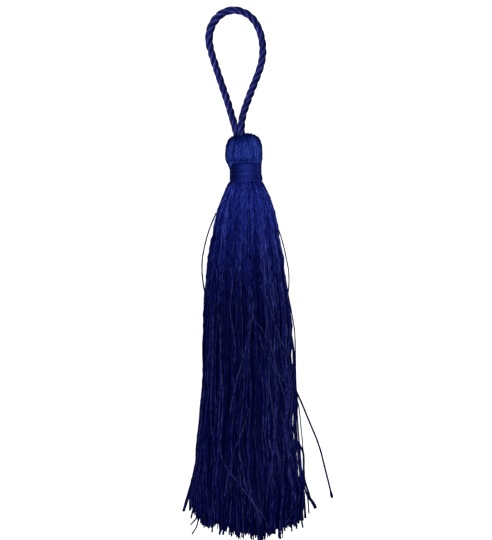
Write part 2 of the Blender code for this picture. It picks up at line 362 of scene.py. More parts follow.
def addCrimp(tree, curve, given):
    # a strand wanders a little about its line, as much as its "crimp" says
    apart = addMath(tree, "MULTIPLY", curveNumber(tree), 7.31)
    along = addNode(tree, "GeometryNodeSplineParameter", out="Length")
    step = addMath(tree, "DIVIDE", along, given["Crimp Length"])
    where = addNode(tree, "ShaderNodeCombineXYZ", {"X": step, "Y": apart, "Z": given["Seed"]})
    fine = {"Vector": where, "Scale": 1.0, "Detail": 1.0}
    waves = addNode(tree, "ShaderNodeTexNoise", fine, out="Color")
    aboutHalf = {0: waves, 1: (0.5, 0.5, 0.5)}
    centred = addNode(tree, "ShaderNodeVectorMath", aboutHalf, operation="SUBTRACT")
    height = addMath(tree, "MULTIPLY", given["Crimp Height"], 4.0)  # noise keeps well within its range
    reach = addMath(tree, "MULTIPLY", namedValue(tree, "crimp"), height)
    offset = addNode(tree, "ShaderNodeVectorMath", {0: centred, "Scale": reach}, operation="SCALE")
    moved = {"Geometry": curve, "Offset": offset}
    return addNode(tree, "GeometryNodeSetPosition", moved)


def addTubes(tree, curve, given):
    # a flat profile, swept along each line and turned as it goes
    starts = {"Min": 0.0, "Max": 2 * math.pi, "ID": curveNumber(tree), "Seed": given["Seed"]}
    phase = addNode(tree, "FunctionNodeRandomValue", starts, data_type="FLOAT", out=1)
    along = addNode(tree, "GeometryNodeSplineParameter", out="Length")
    turning = addMath(tree, "MULTIPLY", given["Turns Per Metre"], 2 * math.pi)
    tilt = addMath(tree, "ADD", addMath(tree, "MULTIPLY", along, turning), phase)
    tilted = addNode(tree, "GeometryNodeSetCurveTilt", {"Curve": curve, "Tilt": tilt})

    keptAlong = captureFields(tree, tilted, {"Along": along, "Phase": phase})

    ring = {"Resolution": given["Sides"], "Radius": 1.0}
    circle = addNode(tree, "GeometryNodeCurvePrimitiveCircle", ring, out="Curve")
    around = addNode(tree, "GeometryNodeSplineParameter", out="Factor")
    keptRound = captureFields(tree, circle, {"Around": around})
    flat = addNode(tree, "ShaderNodeCombineXYZ", {"X": 1.0, "Y": given["Flatness"], "Z": 1.0})
    profile = addNode(tree, "GeometryNodeTransform", {"Geometry": keptRound["Geometry"], "Scale": flat})

    sweep = {
        "Curve": keptAlong["Geometry"],
        "Profile Curve": profile,
        "Scale": addMath(tree, "MULTIPLY", namedValue(tree, "width"), 0.5),
        "Fill Caps": True,
    }
    tubes = addNode(tree, "GeometryNodeCurveToMesh", sweep)

    # "fibre": where a point is round its strand and how far along, for the materials
    angle = addMath(tree, "MULTIPLY", keptRound["Around"], 2 * math.pi)
    distance = addMath(tree, "MULTIPLY", keptAlong["Along"], 1 / mm)
    apart = addMath(tree, "MULTIPLY", keptAlong["Phase"], 50.0)
    parts = {
        "X": addMath(tree, "COSINE", angle),
        "Y": addMath(tree, "SINE", angle),
        "Z": addMath(tree, "ADD", distance, apart),
    }
    fibre = addNode(tree, "ShaderNodeCombineXYZ", parts)
    stored = {"Geometry": tubes, "Name": "fibre", "Value": fibre}
    return addNode(
        tree, "GeometryNodeStoreNamedAttribute", stored, data_type="FLOAT_VECTOR", domain="POINT"
    )


def keepAboveFloor(tree, mesh):
    here = addNode(tree, "GeometryNodeInputPosition")
    split = addNode(tree, "ShaderNodeSeparateXYZ", {"Vector": here}).node.outputs
    above = {"X": split["X"], "Y": split["Y"], "Z": addMath(tree, "MAXIMUM", split["Z"], 0.0)}
    lifted = addNode(tree, "ShaderNodeCombineXYZ", above)
    return addNode(tree, "GeometryNodeSetPosition", {"Geometry": mesh, "Position": lifted})


def makeFlossTree():
    tree = newTree(
        "floss strands",
        (
            ("Point Spacing", "Float", 1.0 * mm),
            ("Sides", "Int", 6),
            ("Flatness", "Float", 0.7),
            ("Turns Per Metre", "Float", 150.0),
            ("Crimp Height", "Float", 0.1 * mm),
            ("Crimp Length", "Float", 3.0 * mm),
            ("Seed", "Int", 1),
            ("Material", "Material", None),
        ),
    )
    given = tree.nodes.new("NodeGroupInput").outputs
    lines = addNode(tree, "GeometryNodeMeshToCurve", {"Mesh": given["Geometry"]})
    smooth = addNode(tree, "GeometryNodeCurveSplineType", {"Curve": lines}, spline_type="CATMULL_ROM")
    spaced = {"Curve": smooth, "Length": given["Point Spacing"]}
    fine = addNode(tree, "GeometryNodeResampleCurve", spaced, mode="LENGTH")
    tubes = keepAboveFloor(tree, addTubes(tree, addCrimp(tree, fine, given), given))
    rounded = addNode(tree, "GeometryNodeSetShadeSmooth", {"Geometry": tubes})
    real = addNode(tree, "GeometryNodeRealizeInstances", {"Geometry": rounded})
    finished = addNode(tree, "GeometryNodeSetMaterial", {"Geometry": real, "Material": given["Material"]})
    tree.links.new(finished, tree.nodes.new("NodeGroupOutput").inputs[0])
    return tree


flossTree = makeFlossTree()


def linesObject(name, strands):
    # a strand is a list of (place, width, crimp, shade)
    places, edges, widths, crimps, shades = [], [], [], [], []
    for strand in strands:
        first = len(places)
        for place, width, crimp, shade in strand:
            places.append(place)
            widths.append(width)
            crimps.append(crimp)
            shades.append(shade)
        edges += [(i, i + 1) for i in range(first, len(places) - 1)]
    mesh = bpy.data.meshes.new(name)
    mesh.from_pydata(places, edges, [])
    for label, values in (("width", widths), ("crimp", crimps), ("shade", shades)):
        mesh.attributes.new(label, "FLOAT", "POINT").data.foreach_set("value", values)
    return addObject(name, mesh)


def applyNodes(obj, tree, values):
    modifier = obj.modifiers.new(tree.name, "NODES")
    modifier.node_group = tree
    for item in tree.interface.items_tree:
        if item.item_type == "SOCKET" and item.in_out == "INPUT" and item.name in values:
            modifier[item.identifier] = values[item.name]
    bpy.context.view_layer.update()
    made = bpy.data.meshes.new_from_object(obj.evaluated_get(bpy.context.evaluated_depsgraph_get()))
    obj.modifiers.remove(modifier)
    lines = obj.data
    obj.data = made
    made.name = obj.name
    bpy.data.meshes.remove(lines)
    return obj


def makeStrands(name, strands, yarn, values, node):
    piece = applyNodes(linesObject(name, strands), flossTree, {**values, "Material": yarns[yarn]})
    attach(piece, "root")
    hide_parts(node)
    triangles = sum(len(face.vertices) - 2 for face in piece.data.polygons)
    print(name, "made:", len(strands), "strands,", triangles, "triangles")
    return piece


def curvePoint(before, start, end, after, t):
    # a place between start and end on a smooth curve through all four
    slope = end - before
    bend = 2 * before - 5 * start + 4 * end - after
    twist = 3 * start - before - 3 * end + after
    return 0.5 * (2 * start + slope * t + bend * t * t + twist * t**3)


def smoothLine(knots, count):
    # a smooth curve through the knots (in millimetres) as evenly spaced points, and its length
    steps = 24  # between two knots
    knots = [Vector(k) * mm for k in knots]
    ends = [2 * knots[0] - knots[1], *knots, 2 * knots[-1] - knots[-2]]
    fine = []
    for span in zip(ends, ends[1:], ends[2:], ends[3:]):
        fine += [curvePoint(*span, step / steps) for step in range(steps)]
    fine.append(knots[-1])
    reach = [0.0]
    for a, b in zip(fine, fine[1:]):
        reach.append(reach[-1] + (b - a).length)
    line = []
    i = 0
    for k in range(count):
        target = reach[-1] * k / (count - 1)
        while i < len(fine) - 2 and reach[i + 1] < target:
            i += 1
        line.append(fine[i].lerp(fine[i + 1], (target - reach[i]) / (reach[i + 1] - reach[i])))
    return line, reach[-1]


def smoothStep(value, low, high):
    t = min(1.0, max(0.0, (value - low) / (high - low)))
    return t * t * (3 - 2 * t)


def wander(seed, along, length):
    return noise.noise(Vector((along / length, seed * 3.17, seed * 1.93)))


# hanging loop: four plies of twisted yarn

loop = {
    "diameter": 2.32 * mm,
    "plies": 4,
    "plyShare": 0.43,  # of the cord's diameter
    "yarnsPerPly": 5,
    "yarnWidth": 2.45,  # times the radius at which the yarns would just touch
    "lay": 10.6 * mm,  # length of one turn of a ply
    "yarnLay": 6.0 * mm,  # one turn of a yarn about its ply, the other way
    "steps": 300,
    "topSwell": 0.12,  # how much fuller the cord is where it bends
    "swells": (28 * mm, 34 * mm),  # where along the cord it gets fuller, and where thinner again
    "slims": (43 * mm, 49 * mm),
    "shades": (0.88, 1.20),  # of the yarns
    "valley": 0.65,  # how light a yarn is deep in the ply, and how much lighter outside: painted shade in the grooves
    "crest": 0.60,
    "sideLoss": 0.45,  # painted shade: how much darker the cord's right side is
    "sideFrom": (0.1, 0.9),
}
loopRoute = (
    (-3.35, 58.6, 4.25), (-3.70, 60.9, 4.25), (-4.20, 62.9, 4.05), (-5.00, 65.7, 3.35),
    (-6.20, 69.9, 2.20), (-7.80, 74.7, 1.40), (-9.60, 80.1, 1.10), (-11.30, 85.5, 1.06),
    (-12.00, 89.2, 1.06), (-11.50, 92.7, 1.06), (-9.90, 95.6, 1.06), (-7.50, 97.5, 1.06),
    (-4.40, 98.2, 1.06), (-1.20, 97.4, 1.06), (1.20, 95.5, 1.06), (2.90, 92.7, 1.06),
    (3.90, 89.2, 1.06), (4.15, 85.6, 1.06), (3.65, 81.9, 1.08), (2.45, 78.3, 1.20),
    (1.05, 74.7, 1.70), (-0.30, 71.1, 2.75), (-1.50, 67.5, 4.25), (-2.10, 64.8, 5.30),
    (-2.30, 62.8, 5.85), (-2.30, 60.9, 6.05), (-2.25, 58.6, 6.05),
)  # fmt: skip


def framesAlong(line):
    # at each point two directions across the line, carried along without twist
    frames = []
    across = None
    for i, point in enumerate(line):
        ahead = (line[min(i + 1, len(line) - 1)] - line[max(i - 1, 0)]).normalized()
        if across is None:
            across = ahead.orthogonal().normalized()
        across = (across - ahead * across.dot(ahead)).normalized()
        frames.append((point, across, ahead.cross(across)))
    return frames


def pliedStrands(line, length, chance):
    plyDiameter = loop["diameter"] * loop["plyShare"]
    plyOffset = (loop["diameter"] - plyDiameter) / 2
    share = math.sin(math.pi / loop["yarnsPerPly"])
    yarnRadius = plyDiameter / 2 * share / (1 + share)
    yarnOffset = plyDiameter / 2 - yarnRadius
    frames = framesAlong(line)
    strands = []
    for ply in range(loop["plies"]):
        for yarn in range(loop["yarnsPerPly"]):
            strand = []
            shade = chance.uniform(*loop["shades"])
            for i, (point, across, up) in enumerate(frames):
                along = length * i / (len(frames) - 1)
                turn = 2 * math.pi * (along / loop["lay"] + ply / loop["plies"])
                out = across * math.cos(turn) + up * math.sin(turn)
                side = up * math.cos(turn) - across * math.sin(turn)
                spin = 2 * math.pi * (yarn / loop["yarnsPerPly"] - along / loop["yarnLay"])
                reach = out * (plyOffset + yarnOffset * math.cos(spin))
                reach += side * yarnOffset * math.sin(spin)
                swell = smoothStep(along, *loop["swells"]) - smoothStep(along, *loop["slims"])
                fuller = 1 + loop["topSwell"] * swell
                # painted shade: yarns are darker deep in the grooves between the plies
                light = loop["valley"] + loop["crest"] * max(0.0, math.cos(spin)) ** 1.5
                # painted shade on the cord's right side
                light *= 1 - loop["sideLoss"] * smoothStep(out.x, *loop["sideFrom"])
                width = yarnRadius * loop["yarnWidth"] * fuller
                strand.append((point + reach * fuller, width, 0.0, shade * light))
            strands.append(strand)
    return strands


def makeLoop():
    line, length = smoothLine(loopRoute, loop["steps"])
    strands = pliedStrands(line, length, random.Random(3))
    values = {"Point Spacing": 0.36 * mm, "Flatness": 0.85, "Turns Per Metre": 200.0, "Seed": 3}
    piece = makeStrands("loopCord", strands, "cordYarn", values, "hanging_loop")


makeLoop()


# stray strand

stray = {
    "diameter": 0.50 * mm,
    "width": 0.62 * mm,
    "points": 60,
    "shade": 0.6,
    "tipSwell": 0.6,  # the cut end has frayed fuller
    "swells": (0.92, 0.97),  # shares of the length
    "tipTaper": 0.7,
    "tapers": (0.98, 1.0),
}
strayRoute = (
    (14.30, -16.5, 2.05), (15.90, -20.1, 1.35), (17.40, -23.7, 0.60), (18.90, -27.3, 0.28),
    (20.40, -30.9, 0.26), (21.60, -34.5, 0.26), (22.50, -38.1, 0.26), (23.40, -41.7, 0.26),
    (24.30, -45.3, 0.26), (25.05, -48.6, 0.26),
)  # fmt: skip


def makeStray():
    line, length = smoothLine(strayRoute, stray["points"])
    strand = []
    for i, point in enumerate(line):
        t = i / (len(line) - 1)
        fuller = 1 + stray["tipSwell"] * smoothStep(t, *stray["swells"])
        fuller -= stray["tipTaper"] * smoothStep(t, *stray["tapers"])
        strand.append((point, stray["width"] * fuller, 0.0, stray["shade"]))
    values = {"Point Spacing": 0.5 * mm, "Sides": 8, "Flatness": 0.95, "Seed": 5}
    piece = makeStrands("strayYarn", [strand], "skirtYarn", values, "stray_strand")


makeStray()


# shape of the hank: its outline at distances below the crown, in millimetres

sectionColumns = ("fromCrown", "left", "right", "underside", "top")
headSections = (
    (0.00, -1.40, 0.20, 4.2, 6.3),
    (0.25, -3.40, 1.35, 3.0, 7.6),
    (0.75, -4.90, 2.60, 2.0, 8.6),
    (1.50, -6.00, 3.40, 1.1, 9.4),
    (2.55, -6.75, 3.86, 0.4, 10.0),
    (4.35, -7.20, 4.14, -0.1, 10.45),
    (6.15, -7.35, 4.20, -0.3, 10.6),
    (7.40, -7.30, 4.16, -0.2, 10.2),
    (8.20, -7.10, 4.06, 0.1, 9.25),
    (9.00, -6.70, 3.95, 0.6, 8.65),
    (10.1, -6.20, 3.70, 1.0, 8.6),
    (11.5, -5.65, 3.60, 1.1, 8.6),
)
skirtSections = (
    (13.4, -4.90, 2.90, 1.1, 9.0),
    (14.7, -5.60, 3.70, 0.7, 9.5),
    (15.3, -6.35, 4.60, 0.2, 10.0),
    (17.1, -7.32, 5.55, -0.3, 10.3),
    (20.1, -8.44, 6.78, -0.6, 10.4),
    (23.7, -9.80, 7.98, -0.8, 10.4),
    (27.3, -10.48, 8.76, -1.0, 10.3),
    (31.0, -11.28, 9.36, -1.1, 10.1),
    (34.5, -12.00, 9.98, -1.1, 9.9),
    (38.5, -12.52, 10.76, -1.1, 9.7),
    (41.7, -12.86, 11.00, -1.1, 9.5),
    (45.3, -13.22, 11.60, -1.1, 9.3),
    (48.9, -13.62, 12.24, -1.1, 9.1),
    (56.1, -13.90, 13.02, -1.1, 8.7),
    (61.0, -14.00, 13.12, -1.1, 8.4),
    (64.0, -14.18, 12.92, -1.1, 8.2),
    (66.5, -14.14, 12.80, -1.0, 8.1),
    (69.0, -14.06, 12.95, -1.0, 8.0),
    (74.1, -14.15, 13.70, -1.0, 7.7),
    (78.0, -14.45, 14.00, -0.9, 7.5),
    (82.5, -14.88, 13.90, -0.9, 7.2),
    (86.5, -15.15, 13.62, -0.9, 7.0),
    (89.5, -15.55, 13.45, -0.9, 6.8),
    (91.3, -15.84, 13.58, -0.9, 6.7),
    (93.0, -16.00, 14.02, -0.9, 6.6),
    (95.5, -16.18, 14.45, -0.9, 6.5),
    (98.5, -16.32, 15.00, -0.8, 6.3),
    (101.0, -16.80, 14.95, -0.8, 6.1),
    (103.0, -17.20, 15.20, -0.8, 6.0),
    (104.5, -17.52, 15.85, -0.7, 5.9),
    (107.5, -17.75, 16.70, -0.7, 5.7),
    (110.5, -17.65, 16.65, -0.7, 5.5),
    (113.7, -17.65, 16.30, -0.6, 5.2),
    (122.0, -17.65, 16.20, -0.5, 4.6),
)


def sectionAt(table, fromCrown):
    # the outline's values between two rows, on a smooth curve
    depth = min(table[-1][0], max(table[0][0], fromCrown / mm))
    k = 0
    while k < len(table) - 2 and depth > table[k + 1][0]:
        k += 1
    before, start, end, after = (table[min(max(j, 0), len(table) - 1)] for j in (k - 1, k, k + 1, k + 2))
    span = end[0] - start[0]
    t = (depth - start[0]) / span
    values = {}
    for c, name in enumerate(sectionColumns[1:], 1):
        slopeIn = (end[c] - before[c]) / (end[0] - before[0]) * span
        slopeOut = (after[c] - start[c]) / (after[0] - start[0]) * span
        rise = end[c] - start[c]
        value = start[c] + slopeIn * t + (3 * rise - 2 * slopeIn - slopeOut) * t**2
        values[name] = (value + (slopeIn + slopeOut - 2 * rise) * t**3) * mm
    values["centre"] = (values["left"] + values["right"]) / 2
    values["half"] = (values["right"] - values["left"]) / 2
    values["middle"] = (max(0.0, values["underside"]) + values["top"]) / 2
    return values


def onSection(section, angle, inset):
    # a point inside the oval outline, "inset" from it
    middle = section["middle"]
    tall = section["top"] - middle if math.sin(angle) > 0 else middle - section["underside"]
    x = section["centre"] + (section["half"] - inset) * math.cos(angle)
    z = middle + (tall - inset) * math.sin(angle)
    return x, z


def speedAt(section, angle):
    # how fast a point goes along the outline as its angle grows
    tall = section["top"] - section["middle"]
    return math.hypot(section["half"] * math.sin(angle), tall * math.cos(angle))


def evenAngles(section, count, jitter, chance):
    # angles that share the oval's outline out evenly, give or take the jitter
    steps = 1440
    reach = [0.0]
    for i in range(steps):
        reach.append(reach[-1] + speedAt(section, 2 * math.pi * (i + 0.5) / steps))
    angles = []
    i = 0
    for target in sorted((k + 0.5 + chance.uniform(-jitter, jitter)) / count for k in range(count)):
        while i < steps - 1 and reach[i + 1] < target * reach[-1]:
            i += 1
        angles.append(2 * math.pi * (i + 0.5) / steps)
    return angles


# hem: locks of strands that end together

hem = {
    "length": 122.0 * mm,  # crown to the longest end
    "gather": 3.2 * mm,  # the locks close over this much of their length
    "closing": 0.3,  # share of the way to the lock's middle
    "lean": 0.5 * mm,  # how far a strand strays to one side over its last stretch
    "leanOver": 18.0 * mm,
    "uneven": 0.32 * mm,  # how much the ends in a lock differ
}
hemLocks = (  # place across, and how far below the crown the lock ends, in millimetres
    (-17.6, 112.2), (-16.8, 112.8), (-15.9, 114.6), (-14.9, 116.3), (-13.9, 117.3), (-12.9, 118.3),
    (-12.1, 118.7), (-11.2, 118.4), (-10.4, 118.0), (-9.7, 117.0), (-8.7, 118.8), (-7.8, 119.6),
    (-6.9, 119.8), (-6.2, 118.9), (-5.2, 120.5), (-4.2, 120.9), (-3.3, 121.3), (-2.4, 121.7),
    (-1.5, 120.2), (-0.6, 120.5), (0.3, 120.5), (1.3, 121.1), (2.2, 122.3), (2.9, 121.3),
    (3.9, 122.4), (4.8, 122.1), (5.7, 121.0), (6.6, 120.3), (7.5, 119.9), (8.25, 118.9),
    (9.2, 121.5), (10.2, 120.0), (10.95, 118.3), (11.7, 118.5), (12.6, 118.0), (13.6, 118.0),
    (14.5, 117.2), (15.5, 116.6), (16.4, 115.4), (17.2, 114.0),
)  # fmt: skip
hemTails = (  # width, where the end is across and along, how far to the left it starts
    (0.61, -11.1, -58.8, -0.5), (0.72, -8.85, -59.5, -0.6), (0.76, -7.8, -59.5, -1.1),
    (0.66, -5.25, -60.0, 0.4), (0.72, 0.75, -60.9, 0.9), (0.61, 6.2, -60.0, 0.9),
    (0.80, 6.9, -59.2, 0.2), (0.72, 7.8, -59.3, 0.4), (0.85, 9.45, -60.7, 1.2),
    (0.61, 12.9, -58.5, 0.5), (0.70, 14.3, -57.7, 0.4), (0.61, 16.2, -57.4, 1.2),
    (0.72, 16.2, -55.2, 0.7), (0.80, 16.95, -54.5, 0.5), (0.66, -14.0, -56.6, 0.5),
)  # fmt: skip


def nearestLock(x):
    return min(hemLocks, key=lambda row: abs(row[0] * mm - x))


def hemEnd(x):
    # how far below the crown the hem ends, between two locks
    across = min(hemLocks[-1][0], max(hemLocks[0][0], x / mm))
    k = 0
    while k < len(hemLocks) - 2 and across > hemLocks[k + 1][0]:
        k += 1
    (left, leftEnd), (right, rightEnd) = hemLocks[k : k + 2]
    return (leftEnd + (rightEnd - leftEnd) * (across - left) / (right - left)) * mm


# inner yarn: a body under the strands, dark with painted shade

inner = {
    "headInset": 0.4 * mm,
    "sideInset": 0.6 * mm,
    "faceInset": 1.5 * mm,
    "deeper": (8 * mm, 20 * mm),  # where the inset changes from the head's to the skirt's
    "startsAt": 1.2 * mm,
    "hemGap": 2.0 * mm,
    "floorGap": 0.4 * mm,
    "rings": 70,
    "crowding": 1.4,  # how much closer the rings are towards the crown
    "ringPoints": 64,
    "grain": (2.0, 0.3),  # how fine the mottling is, across and along
}


def makeInnerYarn():
    last = sectionAt(skirtSections, hem["length"])
    headEnd = headSections[-1][0] * mm
    count = inner["ringPoints"]
    places = []
    for ring in range(inner["rings"]):
        reach = (ring / (inner["rings"] - 1)) ** inner["crowding"]
        for k in range(count):
            angle = 2 * math.pi * k / count
            ending = hemEnd(onSection(last, angle, 0.0)[0]) - inner["hemGap"]
            depth = inner["startsAt"] + (ending - inner["startsAt"]) * reach
            section = sectionAt(headSections if depth < headEnd else skirtSections, depth)
            deeper = inner["faceInset"] + (inner["sideInset"] - inner["faceInset"]) * math.cos(angle) ** 2
            deeper = (deeper - inner["headInset"]) * smoothStep(depth, *inner["deeper"])
            x, z = onSection(section, angle, inner["headInset"] + deeper)
            places.append((x, crownY - depth, max(inner["floorGap"], z)))
    faces = []
    for start in range(0, len(places) - count, count):
        for k in range(count):
            a, b = start + k, start + (k + 1) % count
            faces.append((a, b, b + count, a + count))
    faces.append(tuple(range(count))[::-1])
    faces.append(tuple(range(len(places) - count, len(places))))
    mesh = bpy.data.meshes.new("shadedInnerYarn")
    mesh.from_pydata(places, [], faces)
    mesh.shade_smooth()
    mesh.materials.append(yarns["shadedInnerYarn"])
    across, along = inner["grain"]
    fibres = [value for x, y, z in places for value in (x / mm * across, z / mm * across, y / mm * along)]
    mesh.attributes.new("fibre", "FLOAT_VECTOR", "POINT").data.foreach_set("vector", fibres)
    mesh.attributes.new("shade", "FLOAT", "POINT").data.foreach_set("value", [1.0] * len(places))
    piece = addObject("shadedInnerYarn", mesh)
    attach(piece, "root")
    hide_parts("yarn_hank")
    print("shadedInnerYarn made")


makeInnerYarn()


# skirt

skirt = {
    "start": 13.7 * mm,
    "sharedAt": 70 * mm,  # distance below the crown at which the strands are shared out evenly
    "hemAt": 116 * mm,  # where a strand joins its lock of the hem
    "jitter": 0.45,  # share of the distance between two strands
    "split": -0.12,  # sine of the angle between the upper strands and the under ones
    "points": 60,
    "fineSpacing": 0.6 * mm,  # between the points of the strands that show most
    "spacing": 1.1 * mm,
    "width": 0.45 * mm,
    "widthSpread": 0.25,
    "freed": (15 * mm, 75 * mm),  # where strands start to leave their line, and do so fully
    "locks": 70,
    "lockPull": (0.12, 45 * mm),  # how far strands close up to their lock, and the length of a wave
    "lockDrift": (1.0 * mm, 60 * mm),  # how far a lock strays sideways, and so on
    "lockDepth": (0.2 * mm, 36 * mm),
    "ownDrift": (1.5 * mm, 38 * mm),
    "ownDepth": (0.55 * mm, 24 * mm),
    "rovers": 0.12,  # share of the face strands that cross their neighbours
    "roverDrift": (5.5 * mm, 55 * mm),
    "crimpLoss": 0.65,  # how much straighter the strands are lower down
    "straight": (34 * mm, 66 * mm),
    "layers": (  # name, yarn, strands above and below, depth, how far that varies, shade, shortened by
        # the deeper layers' yarn, and the Inner layer's lower shade, are painted shade
        ("Face", "skirtYarn", 80, 56, 0.0, 0.45 * mm, 1.00, 0.0),
        ("Middle", "shadedDeepSkirtYarn", 80, 54, 0.50 * mm, 0.35 * mm, 1.05, 0.8 * mm),
        ("Inner", "shadedDeepSkirtYarn", 66, 40, 1.05 * mm, 0.30 * mm, 0.85, 1.4 * mm),
    ),
}
tonesAndPaintedLight = {  # of the skirt's strands: their tone, with painted shade and light
    "spread": 0.32,  # how far apart the strands' shades are
    "bunching": 0.28,  # how loosely light and dark ones take turns
    "glints": 0.25,  # how much lighter still the lightest strands are
    "glintFrom": (0.84, 0.96),
    "rovers": 1.35,  # shade of the strands that cross their neighbours
    "lower": (19 * mm, 57 * mm),  # between these the skirt goes over to its lower half's look
    "lowerLoss": 0.38,  # how much darker that is: painted shade
    "contrast": 0.45,  # power of the strands' own shades, and what it gains lower down
    "contrastGain": 0.8,
    "lightest": 2.4,
    "raised": 1.13,  # lightness of a strand on top of the others; the ones below get painted shade
    "sunkLoss": 0.8,  # painted shade: how much darker one below them is, and how much less so lower down
    "sunkGain": 0.38,
    "sunkBy": 0.7 * mm,  # how deep that one lies
    "neck": 0.75,  # painted shadow next to the binding
    "neckOver": (14.7 * mm, 17.7 * mm),
    "bands": 0.70,  # how much lighter and darker groups of strands are
    "bandSize": (4.5, 16 * mm),  # bands to a radian, and length
    "patches": 0.35,  # and short stretches of a few strands
    "patchSize": (0.9 * mm, 2.0 * mm),
    "rimLoss": 0.5,  # painted shade: how much darker the strands at the two edges are
    "rimGain": 0.5,  # and how much less so lower down
    "rimFrom": (0.95, 1.0),  # share of the half width
    "rightGain": 0.42,  # painted light: how much lighter the right side is than the left
    "rightMean": 0.4,  # share of that by which the left side is darker
    "rightFrom": (-1 * mm, 5 * mm),  # across
    "gainStarts": (26 * mm, 36 * mm),  # and below the crown
    "gainEnds": (92 * mm, 106 * mm),
}


def skirtLight(angle, x, fromCrown, rise, rim, shade):
    # how light a strand is, with painted shade and light; "rise" is 1 on top of the others and 0 well
    # below them
    lower = smoothStep(fromCrown, *tonesAndPaintedLight["lower"])
    power = tonesAndPaintedLight["contrast"] + tonesAndPaintedLight["contrastGain"] * lower
    light = (1 - tonesAndPaintedLight["lowerLoss"] * lower) * min(tonesAndPaintedLight["lightest"], shade**power)
    # painted shade on strands that lie under others
    sunkLoss = tonesAndPaintedLight["sunkLoss"] - tonesAndPaintedLight["sunkGain"] * lower
    light *= tonesAndPaintedLight["raised"] - sunkLoss * (1 - rise)
    # painted shadow of the binding on the top of the skirt
    neck = tonesAndPaintedLight["neck"]
    light *= neck + (1 - neck) * smoothStep(fromCrown, *tonesAndPaintedLight["neckOver"])
    perRadian, bandLength = tonesAndPaintedLight["bandSize"]
    bands = noise.noise(Vector((angle * perRadian, fromCrown / bandLength, 6.0)))
    light *= 1 + tonesAndPaintedLight["bands"] * (1 - lower) * bands
    patchWidth, patchLength = tonesAndPaintedLight["patchSize"]
    patches = noise.noise(Vector((x / patchWidth, fromCrown / patchLength, 3.0)))
    light *= 1 + tonesAndPaintedLight["patches"] * patches
    # painted shade at the two edges
    light *= 1 - tonesAndPaintedLight["rimLoss"] * (1 - tonesAndPaintedLight["rimGain"] * lower) * rim
    # painted light: the right side lighter
    gain = tonesAndPaintedLight["rightGain"] * (smoothStep(x, *tonesAndPaintedLight["rightFrom"]) - tonesAndPaintedLight["rightMean"])
    here = smoothStep(fromCrown, *tonesAndPaintedLight["gainStarts"]) - smoothStep(fromCrown, *tonesAndPaintedLight["gainEnds"])
    return light * (1 + gain * here)


def strays(name, seed, fromCrown):
    # how far something of the skirt strays from its place
    reach, length = skirt[name]
    return reach * wander(seed, fromCrown, length)


def skirtStrand(order, seed, angle, layer, chance):
    layerDepth, spread, layerShade, shortened = layer
    ownDepth = chance.uniform(0, spread)
    width = skirt["width"] * chance.uniform(1 - skirt["widthSpread"], 1 + skirt["widthSpread"])
    # light and dark strands take turns by the golden ratio, so they do not bunch together
    bunching = tonesAndPaintedLight["bunching"]
    turn = (order * 0.618 + chance.uniform(-bunching, bunching)) % 1
    shade = math.exp(tonesAndPaintedLight["spread"] * NormalDist().inv_cdf(0.01 + 0.98 * turn))
    shade *= 1 + tonesAndPaintedLight["glints"] * smoothStep(turn, *tonesAndPaintedLight["glintFrom"])
    roving = layerDepth == 0.0 and chance.random() < skirt["rovers"]
    if roving:
        ownDepth = 0.0
        shade = tonesAndPaintedLight["rovers"]
    lock = round(angle / (2 * math.pi) * skirt["locks"])
    lockAngle = 2 * math.pi * lock / skirt["locks"]

    def pointAt(fromCrown):
        section = sectionAt(skirtSections, fromCrown)
        freed = smoothStep(fromCrown, *skirt["freed"])
        pull, pullLength = skirt["lockPull"]
        gathered = pull * freed * (0.5 + 0.5 * wander(lock * 5.1, fromCrown, pullLength))
        turned = angle + (lockAngle - angle) * gathered
        drift = strays("lockDrift", lock * 2.7, fromCrown) + strays("ownDrift", seed, fromCrown)
        if roving:
            drift += strays("roverDrift", seed + 9, fromCrown)
        turned += drift * freed / speedAt(section, turned)
        sunk = layerDepth + ownDepth
        if not roving:
            sunk += strays("ownDepth", seed + 50, fromCrown)
        sunk = max(0.0, sunk + freed * strays("lockDepth", lock * 7.7, fromCrown))
        x, z = onSection(section, turned, sunk + width / 2)
        rim = smoothStep(abs(math.cos(turned)), *tonesAndPaintedLight["rimFrom"])
        return x, z, sunk, rim

    hemX = pointAt(skirt["hemAt"])[0]
    lockX, lockEnd = (value * mm for value in nearestLock(hemX))
    end = lockEnd - abs(chance.gauss(0, hem["uneven"])) - shortened * chance.random()
    closing = (lockX - hemX) * hem["closing"]
    lean = hem["lean"] * NormalDist().inv_cdf(0.03 + 0.94 * ((order * 0.382) % 1))
    resting = width * 0.35  # half the thickness of a flat strand
    strand = []
    for i in range(skirt["points"]):
        t = i / (skirt["points"] - 1)
        fromCrown = skirt["start"] + (end - skirt["start"]) * t
        x, z, sunk, rim = pointAt(fromCrown)
        x += closing * smoothStep(fromCrown, end - hem["gather"], end)
        x += lean * max(0.0, 1 - (end - fromCrown) / hem["leanOver"]) ** 2
        crimp = 1.0 - skirt["crimpLoss"] * smoothStep(fromCrown, *skirt["straight"])
        rise = 1 - min(1.0, max(0.0, sunk - layerDepth) / tonesAndPaintedLight["sunkBy"])
        light = layerShade * skirtLight(angle, x, fromCrown, rise, rim, shade)
        strand.append(((x, crownY - fromCrown, max(resting, z)), width, crimp, light))
    return strand


